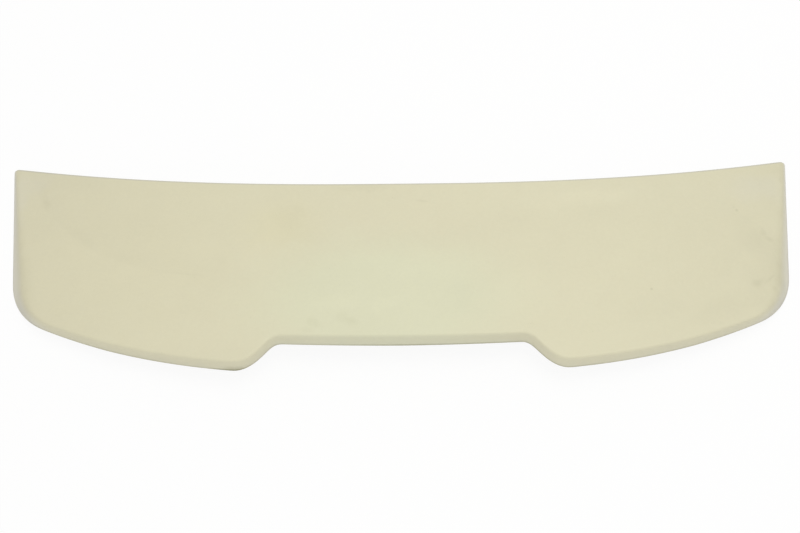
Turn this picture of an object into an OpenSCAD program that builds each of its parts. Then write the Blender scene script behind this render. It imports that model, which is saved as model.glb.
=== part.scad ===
// Roof spoiler: a one-piece moulded polyurethane shell, bonded along the top of a tailgate.
// X runs across the car, +Y points to its front, +Z is up. Sizes are in millimetres.
// The outline is drawn from the middle of the front edge, and the finished shell is then moved so that
// its origin lies under the middle of its overall box, on the plane that the flank lands rest on.

/* [Plan outline] */
// Width over the two flanks at the front corners
overall_w = 1200; // [1000:10:1400]
// How far the front corners reach ahead of the middle of the front edge
front_bow = 60; // [20:1:90]
// Shape of the front edge: 2 is an even bow, more keeps the middle straighter
front_bow_power = 2.3; // [1.8:0.05:3]
// From the middle of the front edge back to the crest that both lobes would share
rear_reach = 313; // [290:1:370]
// How far the rear edge has run forward again at the full width
rear_sweep = 128; // [60:1:160]
// Shape of the rear edge: more keeps the lobes straighter and turns late
rear_sweep_power = 2.85; // [2:0.05:4]
// Angle at which each flank closes in towards the rear
flank_angle = 5.6; // [0:0.1:10]
// Corner radius in plan between a flank and the rear edge
rear_corner_r = 101; // [40:1:130]
// Corner radius in plan between a flank and the front edge
front_corner_r = 5; // [4:1:20]

/* [Lamp notch] */
// From the middle of the front edge back to the floor of the notch
notch_reach = 268; // [230:0.5:280]
// Width of the notch floor between its slanted ends
notch_w = 364; // [200:2:440]
// Radius of the notch floor in plan
notch_floor_r = 3200; // [1200:100:6000]
// Angle between a slanted end and the notch floor
notch_end_angle = 47.5; // [30:0.5:60]
// Reach of the blend where the floor turns into a slanted end
notch_blend = 9; // [2:1:14]
// Reach of the blend where a slanted end turns into the lobe
lobe_blend = 25; // [8:1:30]

/* [Top surface] */
// Radius of the crown across the car
crown_r = 5000; // [4000:100:9000]
// Angle at which the top rises towards the rear
rise_angle = 2.6; // [1:0.1:8]
// Height of the doming from front to rear
camber_h = 3; // [0:0.5:8]

/* [Edges] */
// Thickness of the thin front edge
front_edge_h = 4; // [3:0.5:8]
// Height of the rear lip in the middle
lip_mid_h = 24.5; // [16:0.5:32]
// Height of the rear lip at the rear corners
lip_end_h = 18.5; // [14:0.5:24]
// How far the top of the rear lip leans in over its height
lip_lean = 4; // [1:0.5:8]
// How far the top of a flank leans in at the front corner
flank_lean_front = 3; // [1:0.5:6]
// How far the top of a flank leans in at the rear corner
flank_lean_rear = 21; // [8:1:24]
// Reach of the rounded shoulder along the front edge
front_shoulder = 1.5; // [0.5:0.25:2]
// Reach of the rounded shoulder along the rear lip
lip_shoulder = 4; // [2:0.5:6]
// Reach of the rounded shoulder of a flank at its rear corner
flank_shoulder = 9; // [3:0.5:11]
// Size of the small break along the bottom edge
bottom_break = 1; // [0.5:0.25:1.5]

/* [Underside] */
// Thickness of the skin
skin_t = 4.5; // [3:0.5:6]
// Width of the bonding land behind the front edge
front_land_w = 28; // [15:1:40]
// Extra thickness of the bonding land over the skin
front_land_rise = 1.5; // [1:0.5:4]
// Width of the flat land under each flank
flank_land_w = 11; // [8:1:18]
// Thickness of the rear lip wall
lip_wall_t = 7; // [5:0.5:10]
// Height of a stiffening rib below the skin
rib_h = 8; // [3:1:10]
// Width of a rib at its foot on the skin
rib_foot_w = 12; // [8:1:20]
// Width of a rib along its free edge
rib_top_w = 6; // [3:1:7]

/* [Hidden] */

half_w = overall_w / 2;
notch_half = notch_w / 2;
flank_l = front_bow + rear_reach - rear_sweep;
front_edge_lean = 0.5;
front_land_draft = 2;
land_run_out = 60;
min_corner_r = 2;
max_shoulder_share = 0.6;
max_break_share = 0.5;
rib_places = [0.2, 0.74];
rib_run_in = 0.22;
flank_push_power = 3;

// Segments along each stretch of the outline
floor_steps = 4;
blend_steps = 14;
lobe_steps = 5;
outer_steps = 6;
tail_steps = 3;
front_corner_steps = 4;
rear_corner_steps = 12;
flank_steps = 8;
shoulder_steps = 4;
front_tail_steps = tail_steps + rear_corner_steps / 2 - front_corner_steps;

function clamp01(t) = min(1, max(0, t));
function ease(t) = let(c = clamp01(t)) c * c * (3 - 2 * c);
function blend_min(a, b, reach) = min(a, b) - pow(max(reach - abs(a - b), 0), 2) / (4 * reach);
function blend_max(a, b, reach) = max(a, b) + pow(max(reach - abs(a - b), 0), 2) / (4 * reach);
function spread(from, to, steps) = [for (i = [1:steps]) from + (to - from) * i / steps];
function stretch(slope) = sqrt(1 + slope * slope);

// Plan curves of the front edge and of the rear edge with its lamp notch
function front_y(x) = front_bow * pow(abs(x) / half_w, front_bow_power);
function lobe_y(x) = -rear_reach + rear_sweep * pow(abs(x) / half_w, rear_sweep_power);
function floor_y(x) = -notch_reach + x * x / (2 * notch_floor_r);
function notch_end_y(x) = floor_y(notch_half) - tan(notch_end_angle) * (abs(x) - notch_half);
function notch_y(x) = blend_min(floor_y(x), notch_end_y(x), notch_blend);
function rear_y(x) = blend_max(lobe_y(x), notch_y(x), lobe_blend);
function front_slope(x) = front_y(x + 0.5) - front_y(x - 0.5);
function rear_slope(x) = rear_y(x + 0.5) - rear_y(x - 0.5);

// Where a slanted end of the notch would meet the lobe, and where its blends begin and end
lobe_x = notch_half + (floor_y(notch_half) - lobe_y(notch_half)) / tan(notch_end_angle);
blend_from = notch_half - notch_blend * 2;
blend_to = lobe_x + lobe_blend;

// Ribs: one pair behind the notch, two pairs behind the lobes
column_end = half_w - rear_corner_r - rib_foot_w;
rib_x = [
    blend_from / 2,
    for (share = rib_places) blend_to + (column_end - blend_to) * share
];
function rib_columns(c) = [c - rib_foot_w / 2, c - rib_top_w / 2, c + rib_top_w / 2, c + rib_foot_w / 2];
function rib_profile(x) =
    max([for (c = rib_x) clamp01((rib_foot_w / 2 - abs(x - c)) / ((rib_foot_w - rib_top_w) / 2))]);

// Columns that run from the front edge to the rear edge, from the middle outwards
columns = concat(
    [0],
    spread(0, rib_x[0] - rib_foot_w / 2, floor_steps),
    [for (i = [1:3]) rib_columns(rib_x[0])[i]],
    spread(rib_x[0] + rib_foot_w / 2, blend_from, floor_steps),
    spread(blend_from, blend_to, blend_steps),
    spread(blend_to, rib_x[1] - rib_foot_w / 2, lobe_steps),
    [for (i = [1:3]) rib_columns(rib_x[1])[i]],
    spread(rib_x[1] + rib_foot_w / 2, rib_x[2] - rib_foot_w / 2, outer_steps),
    [for (i = [1:3]) rib_columns(rib_x[2])[i]]
);
last_column = columns[len(columns) - 1];

// An inset is [front edge, flank at its front, flank at its rear, rear edge]
function flank_turn(inset) = atan((flank_l * tan(flank_angle) + inset[2] - inset[1]) / flank_l);
function flank_x(y, inset) = half_w - inset[1] - (front_bow - y) * tan(flank_turn(inset));
function front_point(x, inset) = [x, front_y(x) - inset[0] * stretch(front_slope(x))];
function rear_point(x, inset) = [x, rear_y(x) + inset[3] * stretch(rear_slope(x))];

// The rear corner arc touches the rear edge at x and the straight flank: x is found step by step
function rear_arc_r(inset) = rear_corner_r - (inset[2] + inset[3]) / 2;
function rear_arc_centre(x, inset) =
    let(turn = atan(rear_slope(x))) rear_point(x, inset) + rear_arc_r(inset) * [-sin(turn), cos(turn)];
function flank_gap(x, inset) =
    let(turn = flank_turn(inset), reach = [half_w - inset[1], front_bow] - rear_arc_centre(x, inset))
    reach * [cos(turn), -sin(turn)] - rear_arc_r(inset);
function settle(x, inset, tries) = tries == 0 ? x : settle(x + flank_gap(x, inset), inset, tries - 1);
function rear_arc_x(inset) = settle(half_w - rear_corner_r, inset, 8);

// The front corner arc touches the end of the front edge and the straight flank
function front_corner_x(x, inset, tries) =
    tries == 0 ? x : front_corner_x(flank_x(front_point(x, inset)[1], inset), inset, tries - 1);
function front_arc_r(inset) = max(min_corner_r, front_corner_r - inset[0]);
function front_arc_centre(corner, inset) =
    let(
        lean = atan(front_slope(corner[0])),
        turn = flank_turn(inset),
        ahead = [-sin(lean), cos(lean)],
        aside = [cos(turn), -sin(turn)]
    )
    corner - front_arc_r(inset) * (ahead + aside) / (1 + ahead * aside);

function arc(centre, r, from, to, steps) =
    [for (i = [0:steps]) let(a = from + (to - from) * i / steps) centre + r * [cos(a), sin(a)]];

// Right half of an outline: front edge, front corner, flank, rear corner, rear edge
function half_outline(inset) =
    let(
        corner = front_point(front_corner_x(half_w, inset, 6), inset),
        turn = flank_turn(inset),
        front_arc = arc(
            front_arc_centre(corner, inset), front_arc_r(inset),
            90 + atan(front_slope(corner[0])), -turn, front_corner_steps
        ),
        rear_x = rear_arc_x(inset),
        rear_arc = arc(
            rear_arc_centre(rear_x, inset), rear_arc_r(inset),
            -turn, atan(rear_slope(rear_x)) - 90, rear_corner_steps
        ),
        flank_from = front_arc[front_corner_steps],
        flank_to = rear_arc[0],
        tail = spread(last_column, rear_x, tail_steps),
        front_tail = spread(last_column, front_arc[0][0], front_tail_steps)
    )
    concat(
        [for (x = columns) front_point(x, inset)],
        [for (i = [0:front_tail_steps - 2]) front_point(front_tail[i], inset)],
        front_arc,
        [for (i = [1:flank_steps - 1]) flank_from + (flank_to - flank_from) * i / flank_steps],
        rear_arc,
        [for (i = [1:tail_steps - 1]) rear_point(tail[tail_steps - 1 - i], inset)],
        [for (i = [len(columns) - 1:-1:0]) rear_point(columns[i], inset)]
    );

// Vertex counts of a half outline: across the front, down the flank, and in all
across_n = len(columns) - 1 + tail_steps + rear_corner_steps / 2;
along_n = flank_steps + rear_corner_steps / 2;
half_n = 2 * across_n + along_n;
ring_n = 2 * half_n;
arc_from = across_n + flank_steps;

// Height of the top surface
function form(p) =
    camber_h * (1 - pow(1 + 2 * p[1] / notch_reach, 2))
    - p[0] * p[0] / (2 * crown_r) - p[1] * tan(rise_angle);
function top_z(p) = front_edge_h + form(p) - form([half_w - flank_lean_front, front_bow]);
function lip_h(x) = lip_mid_h + (lip_end_h - lip_mid_h) * abs(x) / half_w;

// How much a vertex of a half outline belongs to the rear lip: 0 on the flank, 1 past the corner
function lip_share(k) = ease((k - arc_from) / rear_corner_steps);
function bottom_z(k, top) =
    k <= across_n ? max(0, top_z(top) - front_edge_h)
    : lip_share(k) * (top_z(top) - lip_h(top[0]));
function land_z(k, p, outer_z) =
    k > across_n ? outer_z
    : (top_z(p) - skin_t - front_land_rise)
        * (1 - clamp01((abs(p[0]) - half_w + land_run_out) / (land_run_out - flank_land_w - min_corner_r * 2)));
function shoulder_reach(k) =
    k <= across_n ? front_shoulder
    : k <= arc_from ? front_shoulder + (flank_shoulder - front_shoulder) * (k - across_n) / flank_steps
    : flank_shoulder + (lip_shoulder - flank_shoulder) * lip_share(k);

// Insets of the rings
crease = [front_edge_lean, flank_lean_front, flank_lean_rear, lip_lean];
shoulder = [front_shoulder, front_shoulder, flank_shoulder, lip_shoulder];
lands = [front_land_w, flank_land_w, flank_land_w, lip_wall_t];
inner_draft = [front_land_draft, flank_lean_front, flank_lean_rear, lip_lean];

foot_half = half_outline([0, 0, 0, 0]);
crease_half = half_outline(crease);
crest_half = half_outline(crease + shoulder);
break_half = half_outline([for (i = [0:3]) bottom_break]);
land_half = half_outline(lands);
under_half = half_outline(lands + inner_draft);
foot_z = [for (k = [0:half_n]) bottom_z(k, crease_half[k])];
foot_y = [for (p = foot_half) p[1]];
mid_y = (max(foot_y) + min(foot_y)) / 2;

function with_z(p, z) = [p[0], p[1], z];
function mix(a, b, t) = a + (b - a) * t;

// Rings of the right half, from the top surface over the edge and round to the underside
crest_ring = [for (p = crest_half) with_z(p, top_z(p))];
crease_ring = [for (p = crease_half) with_z(p, top_z(p))];
foot_ring = [for (k = [0:half_n]) with_z(foot_half[k], foot_z[k])];
wall_ring = [
    for (k = [0:half_n])
    let(wall = foot_ring[k] - crease_ring[k])
    crease_ring[k] + wall * min(max_shoulder_share, shoulder_reach(k) / norm(wall))
];
function shoulder_ring(t) = [
    for (k = [0:half_n])
    mix(mix(crest_ring[k], crease_ring[k], t), mix(crease_ring[k], wall_ring[k], t), t)
];
break_ring = [
    for (k = [0:half_n])
    let(wall = wall_ring[k] - foot_ring[k])
    foot_ring[k] + wall * min(max_break_share, bottom_break / norm(wall))
];
under_column = [
    for (k = [0:half_n])
    k <= across_n ? [columns[min(k, len(columns) - 1)], 0]
    : k < half_n - across_n ? [last_column, 0]
    : [columns[min(half_n - k, len(columns) - 1)], 1]
];
function under_z(p, column_x, run) =
    top_z(p) - skin_t - rib_h * rib_profile(column_x) * clamp01(run / rib_run_in);
under_ring = [
    for (k = [0:half_n])
    with_z(under_half[k], under_z(under_half[k], under_column[k][0], under_column[k][1]))
];

rings = concat(
    [for (i = [0:shoulder_steps]) shoulder_ring(i / shoulder_steps)],
    [
        break_ring,
        [for (k = [0:half_n]) with_z(break_half[k], foot_z[k])],
        [for (k = [0:half_n]) with_z(land_half[k], land_z(k, land_half[k], foot_z[k]))],
        under_ring
    ]
);
last_ring = len(rings) - 1;

// A ring starts at the middle of the front edge and closes over the mirrored left half
function whole_ring(half) = concat(
    [for (k = [0:half_n]) half[k]],
    [for (k = [half_n - 1:-1:1]) [-half[k][0], half[k][1], half[k][2]]]
);

// A surface inside a ring: straight columns, pushed sideways by their share of the flank's curve
function patch_point(half, i, j) =
    let(
        side = i < 0 ? -1 : 1,
        c = abs(i),
        front = half[c],
        rear = half[half_n - c],
        flank = half[across_n + j],
        flank_front = half[across_n],
        flank_rear = half[half_n - across_n],
        run = (flank_front[1] - flank[1]) / (flank_front[1] - flank_rear[1]),
        push = pow(front[0] / flank_front[0], flank_push_power) * (flank - mix(flank_front, flank_rear, run)),
        p = mix(front, rear, run) + push
    )
    [side * p[0], p[1], run, columns[min(c, len(columns) - 1)]];

inner_across = 2 * across_n - 1;
inner_along = along_n - 1;
function patch(half) =
    [for (j = [1:inner_along]) for (i = [-across_n + 1:across_n - 1]) patch_point(half, i, j)];
top_patch = [for (q = patch(crest_half)) with_z(q, top_z(q))];
under_patch = [for (q = patch(under_half)) with_z(q, under_z(q, q[3], q[2]))];

shell_points = concat([for (half = rings) each whole_ring(half)], top_patch, under_patch);

// Index of the vertex in column i and row j of a patch whose border is the given ring
function patch_index(i, j, ring, first) =
    j == 0 ? ring * ring_n + (i + ring_n) % ring_n
    : j == along_n ? ring * ring_n + half_n - i
    : i == across_n ? ring * ring_n + across_n + j
    : i == -across_n ? (ring + 1) * ring_n - across_n - j
    : first + (j - 1) * inner_across + i + across_n - 1;

// Two triangles of a quad, its diagonal mirrored on the left half
function quad(a, b, c, d, left) = left ? [[a, b, d], [b, c, d]] : [[a, b, c], [a, c, d]];

function patch_faces(ring, first, up) = [
    for (j = [0:along_n - 1]) for (i = [-across_n:across_n - 1])
    let(
        a = patch_index(i, j, ring, first),
        b = patch_index(i + 1, j, ring, first),
        c = patch_index(i + 1, j + 1, ring, first),
        d = patch_index(i, j + 1, ring, first)
    )
    each (up ? quad(a, b, c, d, i < 0) : quad(b, a, d, c, i >= 0))
];

wall_faces = [
    for (r = [0:last_ring - 1]) for (k = [0:ring_n - 1])
    let(
        a = r * ring_n + k,
        b = r * ring_n + (k + 1) % ring_n,
        c = b + ring_n,
        d = a + ring_n
    )
    each quad(b, a, d, c, k >= half_n)
];

top_first = len(rings) * ring_n;
under_first = top_first + inner_across * inner_along;
shell_faces = concat(
    patch_faces(0, top_first, true),
    wall_faces,
    patch_faces(last_ring, under_first, false)
);

module spoiler_shell() {
    color([0.86, 0.84, 0.73])
    translate([0, -mid_y, 0])
    polyhedron(points = shell_points, faces = shell_faces, convexity = 6);
}

spoiler_shell();
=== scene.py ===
# Roof spoiler in raw polyurethane: finish, floor, light and camera
import math

import bpy
from mathutils import Matrix, Vector


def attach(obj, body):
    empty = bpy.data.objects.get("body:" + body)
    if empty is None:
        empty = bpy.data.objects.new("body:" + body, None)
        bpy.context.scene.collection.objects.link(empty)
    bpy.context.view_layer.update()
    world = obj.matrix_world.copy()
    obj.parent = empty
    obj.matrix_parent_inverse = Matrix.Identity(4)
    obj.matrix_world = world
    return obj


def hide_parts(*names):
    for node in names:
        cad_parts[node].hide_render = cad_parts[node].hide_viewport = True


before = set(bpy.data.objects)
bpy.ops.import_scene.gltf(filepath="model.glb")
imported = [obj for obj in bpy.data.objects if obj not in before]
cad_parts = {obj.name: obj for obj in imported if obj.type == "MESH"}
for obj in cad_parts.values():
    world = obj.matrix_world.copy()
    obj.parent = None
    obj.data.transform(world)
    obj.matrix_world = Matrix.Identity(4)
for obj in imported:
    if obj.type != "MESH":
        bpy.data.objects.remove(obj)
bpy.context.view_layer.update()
print("frame loaded")


def millimetres(*values):
    # sizes are written in millimetres and used in metres
    scaled = [value / 1000 for value in values]
    return scaled[0] if len(scaled) == 1 else Vector(scaled)


def selectOnly(piece):
    bpy.ops.object.select_all(action="DESELECT")
    piece.select_set(True)
    bpy.context.view_layer.objects.active = piece


def applyModifier(piece, kind, name, **settings):
    selectOnly(piece)
    modifier = piece.modifiers.new(name, kind)
    for key, value in settings.items():
        setattr(modifier, key, value)
    bpy.ops.object.modifier_apply(modifier=modifier.name)


# The moulded shell: the CAD shell as one clean surface
shellShape = {
    "mergeWithin": 0.00001,  # the CAD mesh is loose triangles, so its corners are welded
    "quadAngle": 50,  # two triangles flatter than this become one quad
    "creaseAngle": 36,  # edges sharper than this stay crisp
    "smoothSteps": 2,
    "shadeAngle": 40,
}


def weldedCopy(nodeName, pieceName, shape):
    selectOnly(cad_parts[nodeName])
    bpy.ops.object.duplicate()
    piece = bpy.context.view_layer.objects.active
    piece.name = pieceName
    piece.data.name = pieceName
    bpy.ops.object.mode_set(mode="EDIT")
    bpy.ops.mesh.select_all(action="SELECT")
    bpy.ops.mesh.remove_doubles(threshold=shape["mergeWithin"])
    angle = math.radians(shape["quadAngle"])
    bpy.ops.mesh.tris_convert_to_quads(face_threshold=angle, shape_threshold=angle)
    # in edge mode, so that short edges between two sharp lines aren't taken along
    bpy.ops.mesh.select_mode(type="EDGE")
    bpy.ops.mesh.select_all(action="DESELECT")
    bpy.ops.mesh.edges_select_sharp(sharpness=math.radians(shape["creaseAngle"]))
    bpy.ops.transform.edge_crease(value=1)
    bpy.ops.object.mode_set(mode="OBJECT")
    return piece


def makeShell():
    shape = shellShape
    piece = weldedCopy("spoiler_shell", "moulded_shell", shape)
    corners = [len(face.vertices) for face in piece.data.polygons]
    print("shell cage:", len(corners), "faces,", corners.count(3), "triangles left")
    steps = shape["smoothSteps"]
    applyModifier(piece, "SUBSURF", "smooth form", levels=steps, render_levels=steps)
    selectOnly(piece)
    bpy.ops.object.shade_smooth_by_angle(angle=math.radians(shape["shadeAngle"]))
    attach(piece, "root")
    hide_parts("spoiler_shell")
    return piece


# A socket that adds, subtracts, multiplies and so on by making Math nodes
class Wire:
    def __init__(self, tree, socket):
        self.tree = tree
        self.socket = socket

    def maths(self, operation, first, second=None):
        return self.tree.add("ShaderNodeMath", {"operation": operation}, {0: first, 1: second})

    def __add__(self, other):
        return self.maths("ADD", self, other)

    __radd__ = __add__

    def __mul__(self, other):
        return self.maths("MULTIPLY", self, other)

    __rmul__ = __mul__

    def __sub__(self, other):
        return self.maths("SUBTRACT", self, other)

    def __rsub__(self, other):
        return self.maths("SUBTRACT", other, self)

    def __truediv__(self, other):
        return self.maths("DIVIDE", self, other)

    def __rtruediv__(self, other):
        return self.maths("DIVIDE", other, self)

    def __pow__(self, other):
        return self.maths("POWER", self, other)

    def __rpow__(self, other):
        return self.maths("POWER", other, self)

    def __abs__(self):
        return self.maths("ABSOLUTE", self)


class Tree:
    def __init__(self, owner):
        owner.use_nodes = True
        self.nodes = owner.node_tree.nodes
        self.links = owner.node_tree.links
        self.nodes.clear()

    def add(self, kind, settings=None, values=None, output=0):
        node = self.nodes.new(kind)
        for key, value in (settings or {}).items():
            setattr(node, key, value)
        for key, value in (values or {}).items():
            if isinstance(value, Wire):
                self.links.new(value.socket, node.inputs[key])
            elif value is not None:
                node.inputs[key].default_value = value
        return Wire(self, node.outputs[output]) if node.outputs else node


endless = 100000  # half size of a mark that has no end that way

# Raw polyurethane straight from the mould, with the marks of the mould and of handling, and with
# painted light and shade on its walls and edges. Colours are linear, and places and sizes are in
# millimetres.
rawPolyurethane = {
    "colourWarm": (0.7101, 0.6755, 0.497),
    "colourGreenish": (0.7046, 0.6985, 0.513),
    # colour of dirt and of painted shade
    "colourDirtAndShade": (0.30, 0.285, 0.17),
    # grey of the painted cool light on the walls and edges
    "colourCoolLight": (0.70, 0.70, 0.70),
    "roughness": 0.46,
    "ior": 1.46,
    # Every noise is: size, detail, roughness and how much finer it is along x, y and z
    "noises": {
        "clouds": (210, 4.0, 0.55, (1.0, 1.6, 1.0)),
        "blotches": (40, 4.0, 0.6, (1.0, 1.0, 1.0)),
        "patches": (18, 4.0, 0.65, (1.0, 1.0, 1.0)),
        "tint": (14, 2.0, 0.5, (1.0, 1.0, 1.0)),
        "peel": (9, 2.0, 0.5, (1.0, 1.0, 1.0)),
        "mottle": (5, 3.0, 0.6, (1.0, 1.0, 1.0)),
        "grain": (1.6, 2.0, 0.5, (1.0, 1.0, 1.0)),
    },
    # How strongly the noises show in the brightness, the hue, the surface and the gloss
    "cloudStrength": 0.042,
    "blotchStrength": 0.034,
    "mottleStrength": 0.05,
    "grainStrength": 0.024,
    "tintStrength": 0.4,
    "peelHeight": 0.06,
    "grainHeight": 0.03,
    "blotchRoughness": 0.10,
    "grainRoughness": 0.08,
    # Fine air bubbles that broke the surface
    "bubbleSpacing": 17,
    "bubbleRadius": 0.7,
    "bubbleCore": 0.4,
    "bubbleDarkness": 0.10,
    "bubbleDepth": 0.25,
    # The hidden side is duller and more uneven. It is where the surface faces down: all hidden at
    # the first of these values, and all outside at the second.
    "insideFacing": -0.95,
    "outsideFacing": -0.75,
    "insidePatches": 0.10,
    "insideDarkness": 0.02,
    "insideRoughness": 0.14,
    # The noise by which soft clouds and marks wander, so that none has a ruled edge, how far they
    # wander, and how softly they end
    "drift": (40, 3.0, 0.6, (1.0, 1.0, 1.0)),
    "cloudWander": 40,
    "markWander": 10,
    "markFade": 1.25,
    # Every mark is: middle x and y, half length, half width, turn in degrees, strength.
    # Where the colour turns greenish
    "greenPatch": (-24, -76, 240, 122, 0, 1.42),
    # Where the colour is yellower, or greyer if negative, and how much it varies in patches
    "yellower": [
        (-420, -10, 330, 230, 0, 0.035),
        (-175, 47, 75, 60, 0, 0.085),
        (330, 120, 420, 60, 0, -0.02),
        (550, 126, 62, 30, 0, -0.11),
        (-588, 108, 22, 72, 0, -0.14),
        (-562, 149, 32, 22, 0, -0.09),
    ],
    "yellowStrength": 0.07,
    # Soft clouds in the colour, the negative ones paler. The broad pale ones over the left half, along
    # the front and on the top near the lip on the left are painted light.
    "clouds": [
        # painted light: a broad paler cloud over the left half
        (-320, -20, 330, 230, 0, -0.030),
        (-530, 120, 40, 75, -14, 0.005),
        (-491, 140, 60, 22, 0, 0.005),
        (-386, 60, 110, 60, -14, 0.010),
        (-262, -33, 60, 45, 0, 0.014),
        (-169, 63, 30, 28, 0, 0.018),
        (-150, 38, 70, 50, -20, 0.014),
        (-247, 52, 60, 44, 0, 0.010),
        (-57, 117, 62, 10, -3, 0.030),
        (-88, -85, 42, 17, 0, -0.020),
        (-25, -92, 34, 15, 8, -0.022),
        (35, -19, 130, 34, 2, -0.014),
        (148, 44, 110, 36, 2, 0.006),
        (-105, -45, 90, 40, 0, 0.009),
        (90, -60, 90, 40, 0, 0.006),
        (88, -73, 34, 32, 0, 0.016),
        (79, -98, 50, 20, 0, 0.012),
        (280, 98, 100, 26, 3, -0.024),
        (319, 103, 34, 16, 0, -0.014),
        (314, 62, 80, 24, 0, 0.012),
        (177, -75, 60, 60, 0, -0.012),
        # painted light: the next three paler clouds, along the front and on the top near the lip on the
        # left
        (240, 110, 330, 90, 0, -0.010),
        (-500, 120, 200, 60, 0, -0.008),
        (-330, -135, 150, 50, 0, -0.012),
        (466, -91, 62, 24, 20, 0.026),
        (360, -93, 80, 24, 12, 0.012),
        (481, -14, 30, 36, 0, 0.012),
        (465, 47, 20, 30, 0, 0.012),
        (582, 166, 34, 22, 0, 0.020),
        (556, 125, 44, 66, 0, 0.013),
        (574, 96, 26, 44, 0, 0.016),
        (519, 66, 28, 14, 10, 0.018),
        (524, 33, 34, 32, 20, 0.030),
        (548, 6, 28, 56, 8, 0.030),
        (530, -72, 26, 34, 10, 0.028),
        (538, -40, 40, 30, 0, 0.020),
    ],
    # How strongly dirt of every kind and painted shade tint and dull
    "dirtAndShadeTint": 1.7,
    "dirtAndShadeRoughness": 0.8,
    # Stains from handling, and how patchy they are
    "stainUneven": 1.0,
    "stains": [
        (-539, 109, 10, 15, 25, 0.040),
        (-545, 132, 10, 24, 14, 0.014),
        (-479, 44, 26, 12, -45, 0.015),
        (-415, 4, 30, 12, -28, 0.008),
        (-387, -3, 30, 13, -15, 0.006),
        (-127, -115, 12, 9, 0, 0.036),
        (-117, -121, 9, 6, 0, 0.022),
        (-86, -110, 13, 11, -40, 0.025),
        (-72, -118, 14, 9, -10, 0.036),
        (-134, -128, 12, 7, 0, 0.022),
        (523, -48, 9, 8, 0, 0.054),
        (531, -43, 14, 6, 35, 0.026),
        (545, 43, 6, 8, 20, 0.055),
        (552, 31, 10, 6, -42, 0.052),
        (562, -40, 11, 26, 0, 0.030),
        (562, -13, 9, 16, 0, 0.020),
        (586, 144, 5, 8, 0, 0.040),
        (550, -54, 5, 6, 0, 0.040),
    ],
    # Scratches and pits, with sharper edges
    "scratches": [
        (543, -39, 17, 3.4, 43, 0.052),
        (33, 89, 14, 3.0, -8, 0.050),
        (-312, -31, 36, 2.8, -9, 0.022),
    ],
    "pits": [
        (365, -62, 2.8, 3.0, 0, 0.13),
        (509, 82, 3.2, 3.2, 0, 0.10),
        (505, 88, 2.8, 2.8, 0, 0.04),
    ],
    "pitDepth": 0.4,
    # Flow mark of the moulding: darker within a circle, strongest at its edge, and lost towards the
    # middle of the part
    "flowMark": {
        "middle": (-297, 257),
        "radius": 291.5,
        "edge": 8,
        "depth": 80,
        "veil": 0.005,
        "darkness": 0.009,
        "uneven": 2.0,
        "lostFrom": -330,
        "lostTo": -215,
    },
    # How patchy the painted cool light, the dirt and painted shade along the edges and the painted
    # shadow line under the lip are
    "coolLightUneven": 0.8,
    "edgeUneven": 1.4,
    "footUneven": 0.8,
    # Flanks: where the flank's edge and its front are, and how it leans inward over its run.
    # In from the edge, dirt and painted shade begin at outer, are strongest at middle and end at inner;
    # painted cool light, paler and greyer, ends at the last distance. These distances are taken times
    # reachFront at the front, reachRear at the rear.
    "flank": {
        "edge": 600,
        "front": 182.4,
        "lean": 0.0981,
        "run": 281,
        "reachFront": 0.38,
        "reachRear": 1.2,
        "outer": 1,
        "middle": 14,
        "inner": 38,
        "darkness": 0.05,
        "coolLightTo": 20,
        "paintedCoolLight": 0.37,
    },
    # Painted cool light, paler and greyer, round the rear corners, and its share along the rest of the
    # lip
    "corner": {"from": 490, "to": 560, "height": 18, "paintedCoolLight": 1.35, "lipShare": 0.2},
    # Painted shadow as a dark line along the lower edge of the lip, and haze that darkens the lip
    # towards
    # that edge: the edge's height in the middle and how it falls towards the ends, how high both reach,
    # from which y to which y they set in, where the line ends, and where it is darker or the haze is
    # thicker
    "foot": {
        "halfWidth": 600,
        "middle": 33.9,
        "fall": 25.15,
        "fallMore": 5.92,
        "reach": 6,
        "from": -20,
        "to": -70,
        "endsFrom": 510,
        "endsTo": 570,
        "darkness": 0.19,
        "haze": 0.022,
        "hazeReach": 24,
        "hazier": [(-390, 0, 200, endless, 0, 0.020)],
        "darker": [
            (90, 0, 235, endless, 0, 0.20),
            (-246, 0, 34, endless, 0, 0.40),
        ],
    },
    # Smudges on the lip, with the height in place of y
    "lipMarks": [
        (-238, 32, 20, 10, 0, 0.20),
    ],
    # Painted shade of the rounded front edge: a grey, darker line along it
    "frontEdgeShade": {
        "middle": 122.4,
        "bow": 60,
        "power": 2.3,
        "halfWidth": 600,
        "reach": 4.8,
        "dirtAndShade": 0.19,
        "paintedCoolLight": 0.55,
    },
}


def fade(tree, value, nothingAt, fullAt):
    return tree.add(
        "ShaderNodeMapRange",
        {"interpolation_type": "SMOOTHERSTEP"},
        {"Value": value, "From Min": nothingAt, "From Max": fullAt, "To Min": 0.0, "To Max": 1.0},
    )


def distanceFromOrigin(tree, place):
    return tree.add("ShaderNodeVectorMath", {"operation": "LENGTH"}, {0: place}, "Value")


def addMark(tree, place, mark, upright=False):
    # a mark on an upright wall is placed by x and z, any other one by x and y
    middleX, middleY, halfLength, halfWidth, turn, strength = mark
    angle = math.radians(turn)
    location = (middleX, 0, middleY) if upright else (middleX, middleY, 0)
    rotation = (0, angle, 0) if upright else (0, 0, angle)
    size = (halfLength, endless, halfWidth) if upright else (halfLength, halfWidth, endless)
    inMark = tree.add(
        "ShaderNodeMapping",
        {"vector_type": "TEXTURE"},
        {
            "Vector": place,
            "Location": millimetres(*location),
            "Rotation": rotation,
            "Scale": millimetres(*size),
        },
    )
    return fade(tree, distanceFromOrigin(tree, inMark), rawPolyurethane["markFade"], 0.0) * strength


def addMarks(tree, place, marks, upright=False):
    total = addMark(tree, place, marks[0], upright)
    for mark in marks[1:]:
        total = total + addMark(tree, place, mark, upright)
    return total


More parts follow.
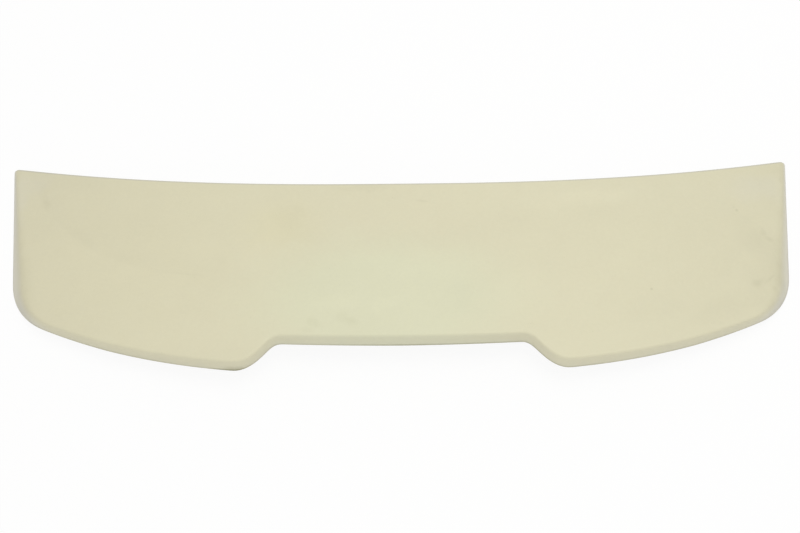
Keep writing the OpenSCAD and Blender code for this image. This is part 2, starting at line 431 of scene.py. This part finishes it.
def makeNoise(tree, place, noise, output="Fac"):
    size, detail, roughness, finer = noise
    scaled = tree.add("ShaderNodeMapping", None, {"Vector": place, "Scale": finer})
    return tree.add(
        "ShaderNodeTexNoise",
        None,
        {"Vector": scaled, "Scale": 1 / millimetres(size), "Detail": detail, "Roughness": roughness},
        output,
    )


def wander(tree, place, drift, distance):
    half = (0.5, 0.5, 0.5)
    centred = tree.add("ShaderNodeVectorMath", {"operation": "SUBTRACT"}, {0: drift, 1: half})
    values = {0: centred, "Scale": millimetres(distance)}
    step = tree.add("ShaderNodeVectorMath", {"operation": "SCALE"}, values)
    return tree.add("ShaderNodeVectorMath", {"operation": "ADD"}, {0: place, 1: step})


def mixColours(tree, factor, first, second):
    first, second = [colour if isinstance(colour, Wire) else (*colour, 1) for colour in (first, second)]
    settings = {"data_type": "RGBA", "clamp_factor": True}
    return tree.add("ShaderNodeMix", settings, {0: factor, 6: first, 7: second}, 2)


def flowMarkShade(tree, place, x, clouds):
    flow = rawPolyurethane["flowMark"]
    inCircle = tree.add(
        "ShaderNodeMapping",
        {"vector_type": "TEXTURE"},
        {"Vector": place, "Location": millimetres(*flow["middle"], 0), "Scale": (1, 1, endless)},
    )
    within = millimetres(flow["radius"]) - distanceFromOrigin(tree, inCircle)
    edge = fade(tree, within, 0.0, millimetres(flow["edge"]))
    front = fade(tree, within, millimetres(flow["depth"]), 0.0)
    kept = fade(tree, x, millimetres(flow["lostTo"]), millimetres(flow["lostFrom"]))
    shade = edge * kept * (front * flow["darkness"] + flow["veil"])
    return shade * (1.0 + clouds * flow["uneven"])


def distanceFromFlank(tree, x, y):
    # scaled, so that painted cool light, dirt and painted shade reach less far at the flank's front and
    # further at its rear
    flank = rawPolyurethane["flank"]
    back = millimetres(flank["front"]) - y
    reach = fade(tree, back, 0.0, millimetres(flank["run"]))
    reach = reach * (flank["reachRear"] - flank["reachFront"]) + flank["reachFront"]
    return (millimetres(flank["edge"]) - back * flank["lean"] - abs(x)) / reach


# painted shade: where the grey line along the rounded front edge lies
def frontEdgeShadeMask(tree, x, y):
    rim = rawPolyurethane["frontEdgeShade"]
    bowed = (abs(x) / millimetres(rim["halfWidth"])) ** rim["power"] * millimetres(rim["bow"])
    return fade(tree, y - bowed - millimetres(rim["middle"]), -millimetres(rim["reach"]), 0.0)


def heightOverFoot(x, z):
    foot = rawPolyurethane["foot"]
    along = (x / millimetres(foot["halfWidth"])) ** 2
    fall = along * (millimetres(foot["fall"]) + along * millimetres(foot["fallMore"]))
    return z - (millimetres(foot["middle"]) - fall)


def outsideMask(tree):
    # 1 on the top, its walls and their lower edges, 0 on the underside
    normal = tree.add("ShaderNodeTexCoord", output="Normal")
    facing = tree.add("ShaderNodeSeparateXYZ", None, {"Vector": normal}, "Z")
    return fade(tree, facing, rawPolyurethane["insideFacing"], rawPolyurethane["outsideFacing"])


def makeBubbles(tree, place):
    look = rawPolyurethane
    spacing, radius = look["bubbleSpacing"], look["bubbleRadius"]
    nearest = tree.add(
        "ShaderNodeTexVoronoi",
        {"feature": "F1"},
        {"Vector": place, "Scale": 1 / millimetres(spacing), "Randomness": 1.0},
        "Distance",
    )
    return fade(tree, nearest * spacing, radius, look["bubbleCore"] * radius)


def makeCleanColour(tree, noises, x, wandered, nudged, outside):
    # colour of the material, with soft clouds and the flow mark on the outside; the broad pale clouds
    # are painted light
    look = rawPolyurethane
    shade = noises["clouds"] * look["cloudStrength"] + noises["blotches"] * look["blotchStrength"]
    shade = shade + noises["mottle"] * look["mottleStrength"] + noises["grain"] * look["grainStrength"]
    placed = flowMarkShade(tree, nudged, x, noises["clouds"]) + addMarks(tree, wandered, look["clouds"])
    hidden = noises["patches"] * look["insidePatches"] - look["insideDarkness"]
    shade = shade - placed * outside + hidden * (1.0 - outside)
    green = addMark(tree, wandered, look["greenPatch"]) * outside
    green = green + noises["tint"] * look["tintStrength"]
    yellower = addMarks(tree, wandered, look["yellower"]) * outside
    yellower = yellower + noises["patches"] * look["yellowStrength"]
    plain = mixColours(tree, green, look["colourWarm"], look["colourGreenish"])
    values = {"Color": plain, "Saturation": yellower + 1.0, "Value": shade + 1.0}
    return tree.add("ShaderNodeHueSaturation", None, values)


def makePaintedCoolLight(tree, x, inward, frontEdgeShadeLine, height, behind):
    # painted cool light, paler and greyer, on the flanks, round the rear corners, along the lip and
    # along the front edge
    flank, corner = rawPolyurethane["flank"], rawPolyurethane["corner"]
    onFlank = fade(tree, inward, millimetres(flank["coolLightTo"]), millimetres(flank["outer"]))
    onLip = fade(tree, abs(x), millimetres(corner["from"]), millimetres(corner["to"]))
    onLip = (onLip * (1 - corner["lipShare"]) + corner["lipShare"]) * behind
    onLip = onLip * fade(tree, height, millimetres(corner["height"]), 0.0) * corner["paintedCoolLight"]
    paintedCoolLight = (onFlank + onLip * (1.0 - onFlank)) * flank["paintedCoolLight"]
    return paintedCoolLight + frontEdgeShadeLine * rawPolyurethane["frontEdgeShade"]["paintedCoolLight"]


def makeFootShadowAndHaze(tree, x, nudged, height, behind, patches):
    # haze, darker towards the lip's lower edge, and painted shadow as a dark line along that edge
    foot = rawPolyurethane["foot"]
    haze = fade(tree, height, millimetres(foot["hazeReach"]), 0.0) * behind
    haze = haze * (foot["haze"] + addMarks(tree, nudged, foot["hazier"]))
    ends = fade(tree, abs(x), millimetres(foot["endsTo"]), millimetres(foot["endsFrom"]))
    line = fade(tree, height, millimetres(foot["reach"]), 0.0) * behind * ends
    line = line * (foot["darkness"] + addMarks(tree, nudged, foot["darker"]))
    return haze + line * (1.0 + patches * rawPolyurethane["footUneven"])


def makeEdgeDirtAndShade(tree, inward, frontEdgeShadeLine, patches):
    # dirt and painted shade in from the flanks' edges, and painted shade along the rounded front edge
    flank = rawPolyurethane["flank"]
    flankDirtAndShade = fade(tree, inward, millimetres(flank["outer"]), millimetres(flank["middle"]))
    flankDirtAndShade = flankDirtAndShade * fade(tree, inward, millimetres(flank["inner"]), millimetres(flank["middle"]))
    dirtAndShade = flankDirtAndShade * flank["darkness"] + frontEdgeShadeLine * rawPolyurethane["frontEdgeShade"]["dirtAndShade"]
    return dirtAndShade * (1.0 + patches * rawPolyurethane["edgeUneven"])


def makePolyurethane():
    look = rawPolyurethane
    material = bpy.data.materials.new("raw_polyurethane")
    tree = Tree(material)
    place = tree.add("ShaderNodeTexCoord", output="Object")
    x, y, z = [tree.add("ShaderNodeSeparateXYZ", None, {"Vector": place}, axis) for axis in "XYZ"]

    # a noise runs from 0 to 1, and is centred on 0
    noises = {name: makeNoise(tree, place, noise) - 0.5 for name, noise in look["noises"].items()}
    patches, grain = noises["patches"], noises["grain"]
    drift = makeNoise(tree, place, look["drift"], "Color")
    wandered = wander(tree, place, drift, look["cloudWander"])
    nudged = wander(tree, place, drift, look["markWander"])

    # where a point is on the part
    outside = outsideMask(tree)
    inward = distanceFromFlank(tree, x, y)
    frontEdgeShadeLine = frontEdgeShadeMask(tree, x, y)
    height = heightOverFoot(x, z)
    behind = fade(tree, y, millimetres(look["foot"]["from"]), millimetres(look["foot"]["to"]))

    # painted cool light lies on the clean colour, and dirt and painted shade lie on that
    clean = makeCleanColour(tree, noises, x, wandered, nudged, outside)
    paintedCoolLight = makePaintedCoolLight(tree, x, inward, frontEdgeShadeLine, height, behind) * outside
    coolLit = mixColours(tree, paintedCoolLight * (1.0 + patches * look["coolLightUneven"]), clean, look["colourCoolLight"])
    dirtAndShade = addMarks(tree, nudged, look["stains"]) * (1.0 + patches * look["stainUneven"])
    # dirt and painted shade in from the flanks' edges, painted shade along the front edge, and the
    # painted shadow under the lip
    dirtAndShade = dirtAndShade + makeEdgeDirtAndShade(tree, inward, frontEdgeShadeLine, patches)
    dirtAndShade = dirtAndShade + makeFootShadowAndHaze(tree, x, nudged, height, behind, patches)
    dirtAndShade = dirtAndShade + addMarks(tree, nudged, look["lipMarks"], upright=True) * behind
    dirtAndShade = dirtAndShade + addMarks(tree, place, look["scratches"])
    pits = addMarks(tree, place, look["pits"]) * outside
    bubbles = makeBubbles(tree, place)
    dirtAndShade = dirtAndShade * outside + pits + bubbles * look["bubbleDarkness"]
    dirtyAndShaded = mixColours(tree, dirtAndShade * look["dirtAndShadeTint"], coolLit, look["colourDirtAndShade"])

    # surface and gloss
    relief = noises["peel"] * millimetres(look["peelHeight"]) + grain * millimetres(look["grainHeight"])
    relief = relief - pits * millimetres(look["pitDepth"]) - bubbles * millimetres(look["bubbleDepth"])
    bump = tree.add("ShaderNodeBump", None, {"Height": relief, "Strength": 1.0, "Distance": 1.0})
    roughness = look["roughness"] + noises["blotches"] * look["blotchRoughness"]
    roughness = roughness + grain * look["grainRoughness"] + dirtAndShade * look["dirtAndShadeRoughness"]
    roughness = roughness + (1.0 - outside) * look["insideRoughness"]
    values = {"Base Color": dirtyAndShaded, "Roughness": roughness, "Normal": bump, "IOR": look["ior"]}
    shader = tree.add("ShaderNodeBsdfPrincipled", None, values)
    tree.add("ShaderNodeOutputMaterial", None, {"Surface": shader})
    return material


def paint(piece, material):
    piece.data.materials.clear()
    piece.data.materials.append(material)


shell = makeShell()
paint(shell, makePolyurethane())
print("shell made")

# White studio floor, in metres. It is seen almost white, and a share of its matt white shows near the
# object, with the object's shadow. Far from the object it is as white as the room behind it.
studioFloor = {
    "size": 14,
    "colour": (0.96, 0.96, 0.96),
    "below": 0.0003,
    "mattShare": 0.08,
    "fadeFrom": 0.9,
    "fadeTo": 3.2,
}


def seenDirectly(tree):
    camera, glossy, through = [
        tree.add("ShaderNodeLightPath", output=f"Is {kind} Ray")
        for kind in ("Camera", "Glossy", "Transmission")
    ]
    return camera + glossy + through


def makeFloor():
    height = -studioFloor["below"]
    bpy.ops.mesh.primitive_plane_add(size=studioFloor["size"], location=(0, 0, height))
    floor = bpy.context.active_object
    floor.name = "studio_floor"
    material = bpy.data.materials.new("white_floor")
    tree = Tree(material)
    matt = tree.add(
        "ShaderNodeBsdfPrincipled",
        None,
        {"Base Color": (*studioFloor["colour"], 1), "Roughness": 1.0, "Specular IOR Level": 0.0},
    )
    white = tree.add("ShaderNodeEmission", None, {"Color": (1, 1, 1, 1), "Strength": 1.0})
    away = distanceFromOrigin(tree, tree.add("ShaderNodeTexCoord", output="Object"))
    near = fade(tree, away, studioFloor["fadeTo"], studioFloor["fadeFrom"])
    whiteShare = seenDirectly(tree) * (1.0 - near * studioFloor["mattShare"])
    mixed = tree.add("ShaderNodeMixShader", None, {"Fac": whiteShare, 1: matt, 2: white})
    tree.add("ShaderNodeOutputMaterial", None, {"Surface": mixed})
    paint(floor, material)


# Soft light: an even room, a broad yellowish lamp above on the right, and a weak greenish one low on
# the camera's side. Places are in metres and power is in watts.
studioLight = {
    "room": 0.69,
    "roomColour": (1.0, 0.98, 0.99),
    "lamps": [
        {
            "name": "top_lamp",
            "at": (0.35, 0.35, 2.1),
            "to": (0.15, 0.0, 0.0),
            "size": (1.6, 1.2),
            "power": 15,
            "colour": (0.97, 1.0, 0.86),
        },
        {
            "name": "camera_lamp",
            "at": (-0.2, -2.6, 0.7),
            "to": (0.0, 0.0, 0.0),
            "size": (2.4, 1.2),
            "power": 6.3,
            "colour": (0.77, 0.87, 0.80),
        },
    ],
}


def makeLight():
    world = bpy.data.worlds.new("studio_room")
    bpy.context.scene.world = world
    tree = Tree(world)
    room = tree.add(
        "ShaderNodeBackground",
        None,
        {"Color": (*studioLight["roomColour"], 1), "Strength": studioLight["room"]},
    )
    white = tree.add("ShaderNodeBackground", None, {"Color": (1, 1, 1, 1), "Strength": 1.0})
    camera = tree.add("ShaderNodeLightPath", output="Is Camera Ray")
    mixed = tree.add("ShaderNodeMixShader", None, {"Fac": camera, 1: room, 2: white})
    tree.add("ShaderNodeOutputWorld", None, {"Surface": mixed})
    for lamp in studioLight["lamps"]:
        light = bpy.data.lights.new(lamp["name"], "AREA")
        light.shape = "RECTANGLE"
        light.size, light.size_y = lamp["size"]
        light.energy = lamp["power"]
        light.color = lamp["colour"]
        holder = bpy.data.objects.new(lamp["name"], light)
        bpy.context.scene.collection.objects.link(holder)
        direction = Vector(lamp["to"]) - Vector(lamp["at"])
        holder.location = lamp["at"]
        holder.rotation_euler = direction.to_track_quat("-Z", "Y").to_euler()


# The camera looks from behind the spoiler, high up and a little off level. Places are in millimetres
# and angles in degrees.
cameraView = {
    "target": (-1.186, -11.588, 27.465),
    "distance": 2304.2,
    "elevation": 61,
    "roll": -0.59,
    "lens": 70,
    "sensor": 36,
}


def makeCamera():
    data = bpy.data.cameras.new("studio_camera")
    data.lens = cameraView["lens"]
    data.sensor_width = cameraView["sensor"]
    camera = bpy.data.objects.new("studio_camera", data)
    bpy.context.scene.collection.objects.link(camera)
    tilt = Matrix.Rotation(math.radians(90 - cameraView["elevation"]), 4, "X")
    roll = Matrix.Rotation(math.radians(cameraView["roll"]), 4, "Z")
    turn = tilt @ roll
    back = turn @ Vector((0, 0, millimetres(cameraView["distance"])))
    camera.location = millimetres(*cameraView["target"]) + back
    camera.rotation_euler = turn.to_euler()
    bpy.context.scene.camera = camera


makeFloor()
makeLight()
makeCamera()
bpy.context.scene.view_settings.view_transform = "Standard"
print("floor, light and camera made")
